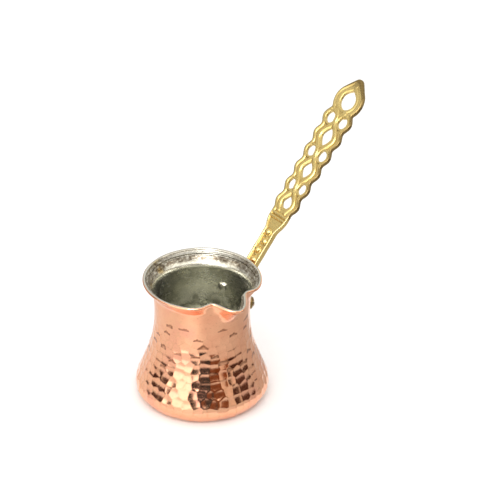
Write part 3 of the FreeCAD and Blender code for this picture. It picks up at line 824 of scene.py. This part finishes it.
def noise(tree, size_mm, detail=3.0, stretch=(1, 1, 1), lift=0.0):
    """Noise whose features measure about size_mm; stretch above one packs them closer along an axis."""
    place = node(tree, "TexCoord").outputs["Object"]
    packed = node(tree, "Mapping", {"Vector": place, "Scale": stretch, "Location": (lift, lift, lift)})
    texture = node(
        tree, "TexNoise", {"Vector": packed.outputs[0], "Scale": 1 / (size_mm * MM), "Detail": detail}
    )
    return texture.outputs["Fac"]


def stored(tree, name):
    """The number kept at each vertex under this name."""
    return node(tree, "Attribute", attribute_name=name).outputs["Fac"]


def mix(tree, factor, first, second):
    """Blend of two colours."""
    made = tree.nodes.new("ShaderNodeMix")
    made.data_type = "RGBA"
    for socket, value in zip((0, 6, 7), (factor, first, second)):
        if isinstance(value, bpy.types.NodeSocket):
            tree.links.new(value, made.inputs[socket])
        else:
            made.inputs[socket].default_value = value if socket == 0 else (*value, 1)
    return made.outputs[2]


def math_node(tree, operation, first, second):
    return node(tree, "Math", {0: first, 1: second}, operation=operation).outputs[0]


def spread(tree, value, low, high, new_low, new_high):
    """Value moved from one range to another and kept inside it."""
    made = node(
        tree,
        "MapRange",
        {"Value": value, "From Min": low, "From Max": high, "To Min": new_low, "To Max": new_high},
    )
    return made.outputs[0]


def metal(name, build):
    """Metal whose colour, roughness and bump height come from build(tree)."""
    made = bpy.data.materials.new(name)
    made.use_nodes = True
    tree = made.node_tree
    tree.nodes.clear()
    colour, roughness, height, strength = build(tree)
    bumped = node(tree, "Bump", {"Height": height, "Strength": strength, "Distance": 0.1 * MM})
    shader = node(
        tree,
        "BsdfPrincipled",
        {"Base Color": colour, "Roughness": roughness, "Metallic": 1.0, "Normal": bumped.outputs[0]},
    )
    out = node(tree, "OutputMaterial")
    tree.links.new(shader.outputs[0], out.inputs["Surface"])
    return made


def copper_look(tree):
    """Polished copper, pinker in clouds, with painted shade: browner along the ridges between blows (partly
    oxide) and near-black in the laps above some blows; the inner half of the rim is tinned.
    """
    clouds = noise(tree, 14, 4)
    specks = noise(tree, 1.1, 5, lift=3.0)
    lines = noise(tree, 1.6, 3, stretch=(1, 1, 9))
    pinks = (0.32, (0.88, 0.43, 0.26)), (0.52, (0.92, 0.49, 0.30)), (0.70, (0.90, 0.43, 0.29))
    fresh = ramp(tree, clouds, pinks)
    aged = mix(tree, spread(tree, specks, 0.60, 0.78, 0.0, 0.4), fresh, (0.50, 0.20, 0.10))
    # painted shade, partly oxide: browner along the ridges between the blows
    edged = mix(tree, math_node(tree, "MULTIPLY", stored(tree, "ridge"), 0.42), aged, (0.52, 0.22, 0.11))
    # painted shade: near-black in the laps above some blows
    edged = mix(tree, math_node(tree, "MULTIPLY", stored(tree, "lap_shade"), 0.9), edged, (0.19, 0.07, 0.03))
    tin = mix(tree, clouds, (0.60, 0.56, 0.48), (0.74, 0.71, 0.64))
    worn = math_node(tree, "ADD", stored(tree, "tinned"), spread(tree, specks, 0.3, 0.7, -0.18, 0.18))
    colour = mix(tree, spread(tree, worn, 0.35, 0.6, 0.0, 1.0), edged, tin)
    roughness = spread(tree, math_node(tree, "ADD", lines, clouds), 0.7, 1.3, 0.09, 0.2)
    return colour, roughness, math_node(tree, "ADD", lines, specks), 0.12


def tin_look(tree):
    """Hot-wiped tin: even olive grey in the hollow, mottled brown on the flare, and a painted highlight that
    makes the high rim paler at the back, away from the camera.
    """
    clouds = noise(tree, 9, 5)
    blots = noise(tree, 1.9, 6, stretch=(1, 1, 1.8), lift=2.0)
    wipes = noise(tree, 2.4, 4, stretch=(1, 1, 4), lift=1.0)
    where = node(tree, "TexCoord").outputs["Object"]
    place = node(tree, "SeparateXYZ", {0: where}).outputs["Z"]
    back = node(tree, "VectorMath", {0: where, 1: AWAY}, operation="DOT_PRODUCT").outputs["Value"]
    flare = spread(tree, place, 65.5 * MM, 68 * MM, 0.0, 1.0)
    high = spread(tree, place, 69.2 * MM, 70.2 * MM, 0.0, 0.75)
    behind = spread(tree, back, 17 * MM, 28 * MM, 0.0, 1.0)
    # painted highlight: paler tin high on the rim at the back, where the key light's reflection falls
    back_rim_highlight = math_node(tree, "MULTIPLY", high, behind)
    hollow = mix(tree, clouds, (0.72, 0.715, 0.63), (0.79, 0.785, 0.70))
    browns = (0.38, (0.12, 0.085, 0.055)), (0.52, (0.28, 0.24, 0.18)), (0.66, (0.56, 0.53, 0.46))
    mottled = ramp(tree, blots, browns)
    colour = mix(tree, flare, hollow, mottled)
    colour = mix(tree, back_rim_highlight, colour, (0.66, 0.64, 0.58))
    wiped = mix(tree, spread(tree, wipes, 0.4, 0.7, 0.0, 0.25), colour, (0.78, 0.76, 0.68))
    roughness = spread(tree, math_node(tree, "ADD", clouds, wipes), 0.7, 1.3, 0.16, 0.3)
    return wiped, roughness, math_node(tree, "ADD", wipes, blots), 0.25


def brass_look(tree):
    """Cast brass: paler on the crests, partly rubbing wear and partly a painted highlight; golden brown in
    the grooves; painted shade along its outside edge and over the foot.
    """
    clouds = noise(tree, 6, 4)
    grain = noise(tree, 0.8, 4, lift=2.0)
    bright = mix(tree, clouds, (0.72, 0.53, 0.18), (0.80, 0.63, 0.28))
    depth = math_node(tree, "ADD", stored(tree, "hollow"), spread(tree, grain, 0.3, 0.7, -0.02, 0.02))
    wear_and_sheen = mix(tree, spread(tree, depth, 0.02, 0.14, 0.0, 0.8), bright, (0.48, 0.27, 0.06))
    # crests paler: partly rubbing wear, partly a painted highlight
    wear_and_sheen = mix(tree, spread(tree, depth, -0.08, -0.26, 0.0, 0.85), wear_and_sheen, (0.94, 0.83, 0.55))
    # painted shade: dark along the rounded outside edges and over the foot, darker towards the eye's tip
    rim = math_node(tree, "ADD", stored(tree, "edge"), spread(tree, clouds, 0.3, 0.7, -0.12, 0.12))
    colour = mix(tree, spread(tree, rim, 0.15, 0.7, 0.0, 0.85), wear_and_sheen, (0.20, 0.13, 0.05))
    return colour, spread(tree, grain, 0.3, 0.7, 0.22, 0.36), grain, 0.15


def rivet_look(tree):
    """Tinned rivet heads, scuffed by the hammer."""
    clouds = noise(tree, 2.2, 4)
    scuffs = noise(tree, 0.6, 5, lift=4.0)
    colour = mix(tree, clouds, (0.50, 0.48, 0.41), (0.80, 0.78, 0.70))
    return colour, spread(tree, scuffs, 0.3, 0.7, 0.16, 0.34), scuffs, 0.3


def floor_look():
    """Pale matt paper with a faint grain."""
    made = bpy.data.materials.new("pale_paper")
    made.use_nodes = True
    tree = made.node_tree
    shader = tree.nodes["Principled BSDF"]
    tone = mix(tree, noise(tree, 6, 4), (0.90, 0.90, 0.895), (0.93, 0.93, 0.925))
    tree.links.new(tone, shader.inputs["Base Color"])
    shader.inputs["Roughness"].default_value = 0.9
    grain = node(tree, "Bump", {"Height": noise(tree, 0.8, 5), "Strength": 0.05, "Distance": 0.1 * MM})
    tree.links.new(grain.outputs[0], shader.inputs["Normal"])
    return made


# ---- studio
VIEW_AZIMUTH, VIEW_ELEVATION, VIEW_DISTANCE = math.radians(-38.0), math.radians(32.83), 1.5
AIM = Vector((0, 0, 0.035))
FRAME_RIGHT, FRAME_UP = 0.0261, 0.0471  # from there to the middle of the picture, in metres
LENS, SENSOR = 197.6, 36.0
AWAY = Vector((-math.sin(VIEW_AZIMUTH), math.cos(VIEW_AZIMUTH), 0))
RIGHT = Vector((math.cos(VIEW_AZIMUTH), math.sin(VIEW_AZIMUTH), 0))


def seen_from(right, away, up):
    """Place in the part's frame given as metres to the right, away and up as the camera sees it."""
    return RIGHT * right + AWAY * away + Vector((0, 0, up))


def softbox(name, place, wide, tall, power):
    """White area lamp aimed at the pot."""
    lamp = bpy.data.lights.new(name, "AREA")
    lamp.shape = "RECTANGLE"
    lamp.size, lamp.size_y = wide, tall
    lamp.energy = power
    piece = bpy.data.objects.new(name, lamp)
    bpy.context.scene.collection.objects.link(piece)
    piece.location = place
    piece.rotation_euler = (AIM - piece.location).to_track_quat("-Z", "Y").to_euler()


def reflection(name, corners, faces, build):
    """Glowing mesh that only the polished metal sees. corners are places to the right, away and up."""
    look = bpy.data.materials.new(name)
    look.use_nodes = True
    tree = look.node_tree
    tree.nodes.clear()
    glow = node(tree, "Emission", {"Color": build(tree), "Strength": 1.0})
    tree.links.new(glow.outputs[0], node(tree, "OutputMaterial").inputs["Surface"])
    places = np.array([tuple(seen_from(*corner)) for corner in corners]) / MM
    piece = mesh(name, places, faces, look, smooth=False)
    piece.visible_camera = False
    piece.visible_diffuse = False
    piece.visible_shadow = False
    return piece


def card(name, corners, colour, fade=0.6):
    """One flat card, cloudy between its colour and a share of it."""
    reflection(
        name,
        corners,
        [tuple(range(len(corners)))],
        lambda tree: mix(tree, noise(tree, 45, 3), colour, tuple(fade * c for c in colour)),
    )


def bearing(degrees, reach, up):
    """Place at a bearing from the pot: 0 is towards the camera and 90 is to its right."""
    turn = math.radians(degrees)
    return (reach * math.sin(turn), -reach * math.cos(turn), up)


def standing(name, start, end, reach, low, high, colour, fade=0.6):
    """Upright card between two bearings."""
    corners = [bearing(start, reach, low), bearing(end, reach, low), bearing(end, reach, high)]
    card(name, [*corners, bearing(start, reach, high)], colour, fade)


def floor_tones():
    """Ring just over the floor that runs from bright at the pot's front left to grey on its right."""
    places = np.linspace(-164, 136, 151)
    tone = 1.06 + 0.28 * bump(places + 24, 20) - 0.14 * smooth_step(places, -15, 10)
    tone -= 0.25 * smooth_step(places, 5, 100)
    top = 1.4
    full = (top, 0.96 * top, 0.92 * top)

    def shade(tree):
        bright = mix(tree, stored(tree, "tone"), (0, 0, 0), full)
        dim = mix(tree, stored(tree, "tone"), (0, 0, 0), tuple(0.85 * c for c in full))
        return mix(tree, noise(tree, 45, 3), bright, dim)

    corners = [bearing(place, reach, 0.0005) for reach in (0.055, 0.6) for place in places]
    faces = grid_faces(2, len(places), wrap=False).tolist()
    store(reflection("floor_tones", corners, faces, shade), "tone", np.tile(tone / top, 2))


def studio():
    """Floor, sky, lamps and the room that the metal mirrors."""
    half = 4000.0
    corners = [(-half, -half, 0), (half, -half, 0), (half, half, 0), (-half, half, 0)]
    mesh("floor", corners, [(0, 1, 2, 3)], floor_look(), smooth=False)
    world = bpy.data.worlds.new("studio")
    bpy.context.scene.world = world
    world.use_nodes = True
    tree = world.node_tree
    tree.nodes.clear()
    direction = node(tree, "TexCoord").outputs["Generated"]
    away = node(tree, "VectorMath", {0: direction, 1: AWAY}, operation="DOT_PRODUCT").outputs["Value"]
    up = node(tree, "SeparateXYZ", {0: direction}).outputs["Z"]
    room = mix(tree, spread(tree, away, -0.1, 0.4, 0.0, 1.0), (0.20, 0.165, 0.14), (0.88, 0.88, 0.85))
    above = mix(tree, spread(tree, up, 0.35, 0.75, 0.0, 1.0), room, (0.75, 0.74, 0.70))
    path = node(tree, "LightPath")
    lit = mix(tree, path.outputs["Is Diffuse Ray"], above, (1.08, 1.08, 1.07))
    shown = mix(tree, path.outputs["Is Camera Ray"], lit, (0.96, 0.96, 0.955))
    sky = node(tree, "Background", {"Color": shown, "Strength": 1.0})
    tree.links.new(sky.outputs[0], node(tree, "OutputWorld").inputs["Surface"])
    softbox("key", seen_from(-0.10, -0.75, 0.95), 0.7, 0.45, 4.2)
    softbox("overhead", seen_from(0.0, 0.25, 1.3), 1.4, 1.4, 1.2)
    softbox("left_strip", seen_from(-0.75, -0.55, 0.35), 0.25, 0.7, 1.1)
    standing("light_column", -50, -11, 0.30, 0.0, 0.16, (2.1, 2.08, 2.04), 0.85)
    floor_tones()
    standing("grey_front", -16, 12, 0.26, 0.0, 0.13, (0.03, 0.026, 0.026), 0.3)
    standing("brown_front", 12, 40, 0.25, 0.0, 0.10, (0.36, 0.13, 0.04), 0.1)
    standing("light_gap", 40, 54, 0.3, 0.0, 0.15, (1.0, 0.9, 0.8))
    standing("brown_right", 54, 88, 0.27, 0.0, 0.12, (0.12, 0.05, 0.03), 0.2)
    standing("dark_right", 88, 140, 0.34, 0.015, 0.054, (0.07, 0.035, 0.025), 0.4)
    standing("brown_left", -160, -66, 0.38, 0.012, 0.11, (0.08, 0.035, 0.025), 0.4)
    standing("flare_glow", -38, 10, 0.60, 0.28, 0.80, (3.0, 2.95, 2.85), 0.95)
    standing("flare_stripe", -25, -5, 0.48, 0.22, 0.66, (9.0, 8.9, 8.7), 0.95)
    for start in range(-90, 90, 30):
        standing(f"high_glow_{start + 90}", start, start + 30, 0.7, 0.28, 0.62, (2.2, 2.15, 2.0), 0.9)


def camera():
    """Looks down on the pot, which stands low and left of the middle of the picture."""
    lens = bpy.data.cameras.new("view")
    lens.sensor_width = SENSOR
    lens.lens = LENS
    piece = bpy.data.objects.new("view", lens)
    bpy.context.scene.collection.objects.link(piece)
    back = -AWAY * math.cos(VIEW_ELEVATION) + Vector((0, 0, math.sin(VIEW_ELEVATION)))
    upright = AWAY * math.sin(VIEW_ELEVATION) + Vector((0, 0, math.cos(VIEW_ELEVATION)))
    piece.location = AIM + back * VIEW_DISTANCE
    middle = AIM + RIGHT * FRAME_RIGHT + upright * FRAME_UP
    z_axis = (piece.location - middle).normalized()
    x_axis = upright.cross(z_axis).normalized()
    axes = Matrix((x_axis, z_axis.cross(x_axis), z_axis)).transposed()
    piece.rotation_euler = axes.to_euler()
    bpy.context.scene.camera = piece


# ---- assembly
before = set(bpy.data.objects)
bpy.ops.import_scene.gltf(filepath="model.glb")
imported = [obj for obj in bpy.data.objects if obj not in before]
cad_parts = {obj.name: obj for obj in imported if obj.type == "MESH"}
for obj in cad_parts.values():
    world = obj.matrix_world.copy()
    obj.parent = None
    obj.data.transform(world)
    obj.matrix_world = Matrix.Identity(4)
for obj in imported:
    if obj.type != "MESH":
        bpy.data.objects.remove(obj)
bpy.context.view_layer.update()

wall = Wall()
pieces = (
    ("pot_body", "copper", pot_body(wall, metal("copper", copper_look))),
    ("tin_lining", "tin", tin_lining(wall, metal("tin", tin_look))),
    ("handle", "cast_brass", cast_handle(wall, metal("cast_brass", brass_look))),
    ("handle_rivets", "rivet_metal", rivets(metal("rivet_metal", rivet_look))),
)
for solid, slot, piece in pieces:
    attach(piece, "root")
    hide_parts(solid)

studio()
camera()
bpy.context.scene.view_settings.view_transform = "Standard"
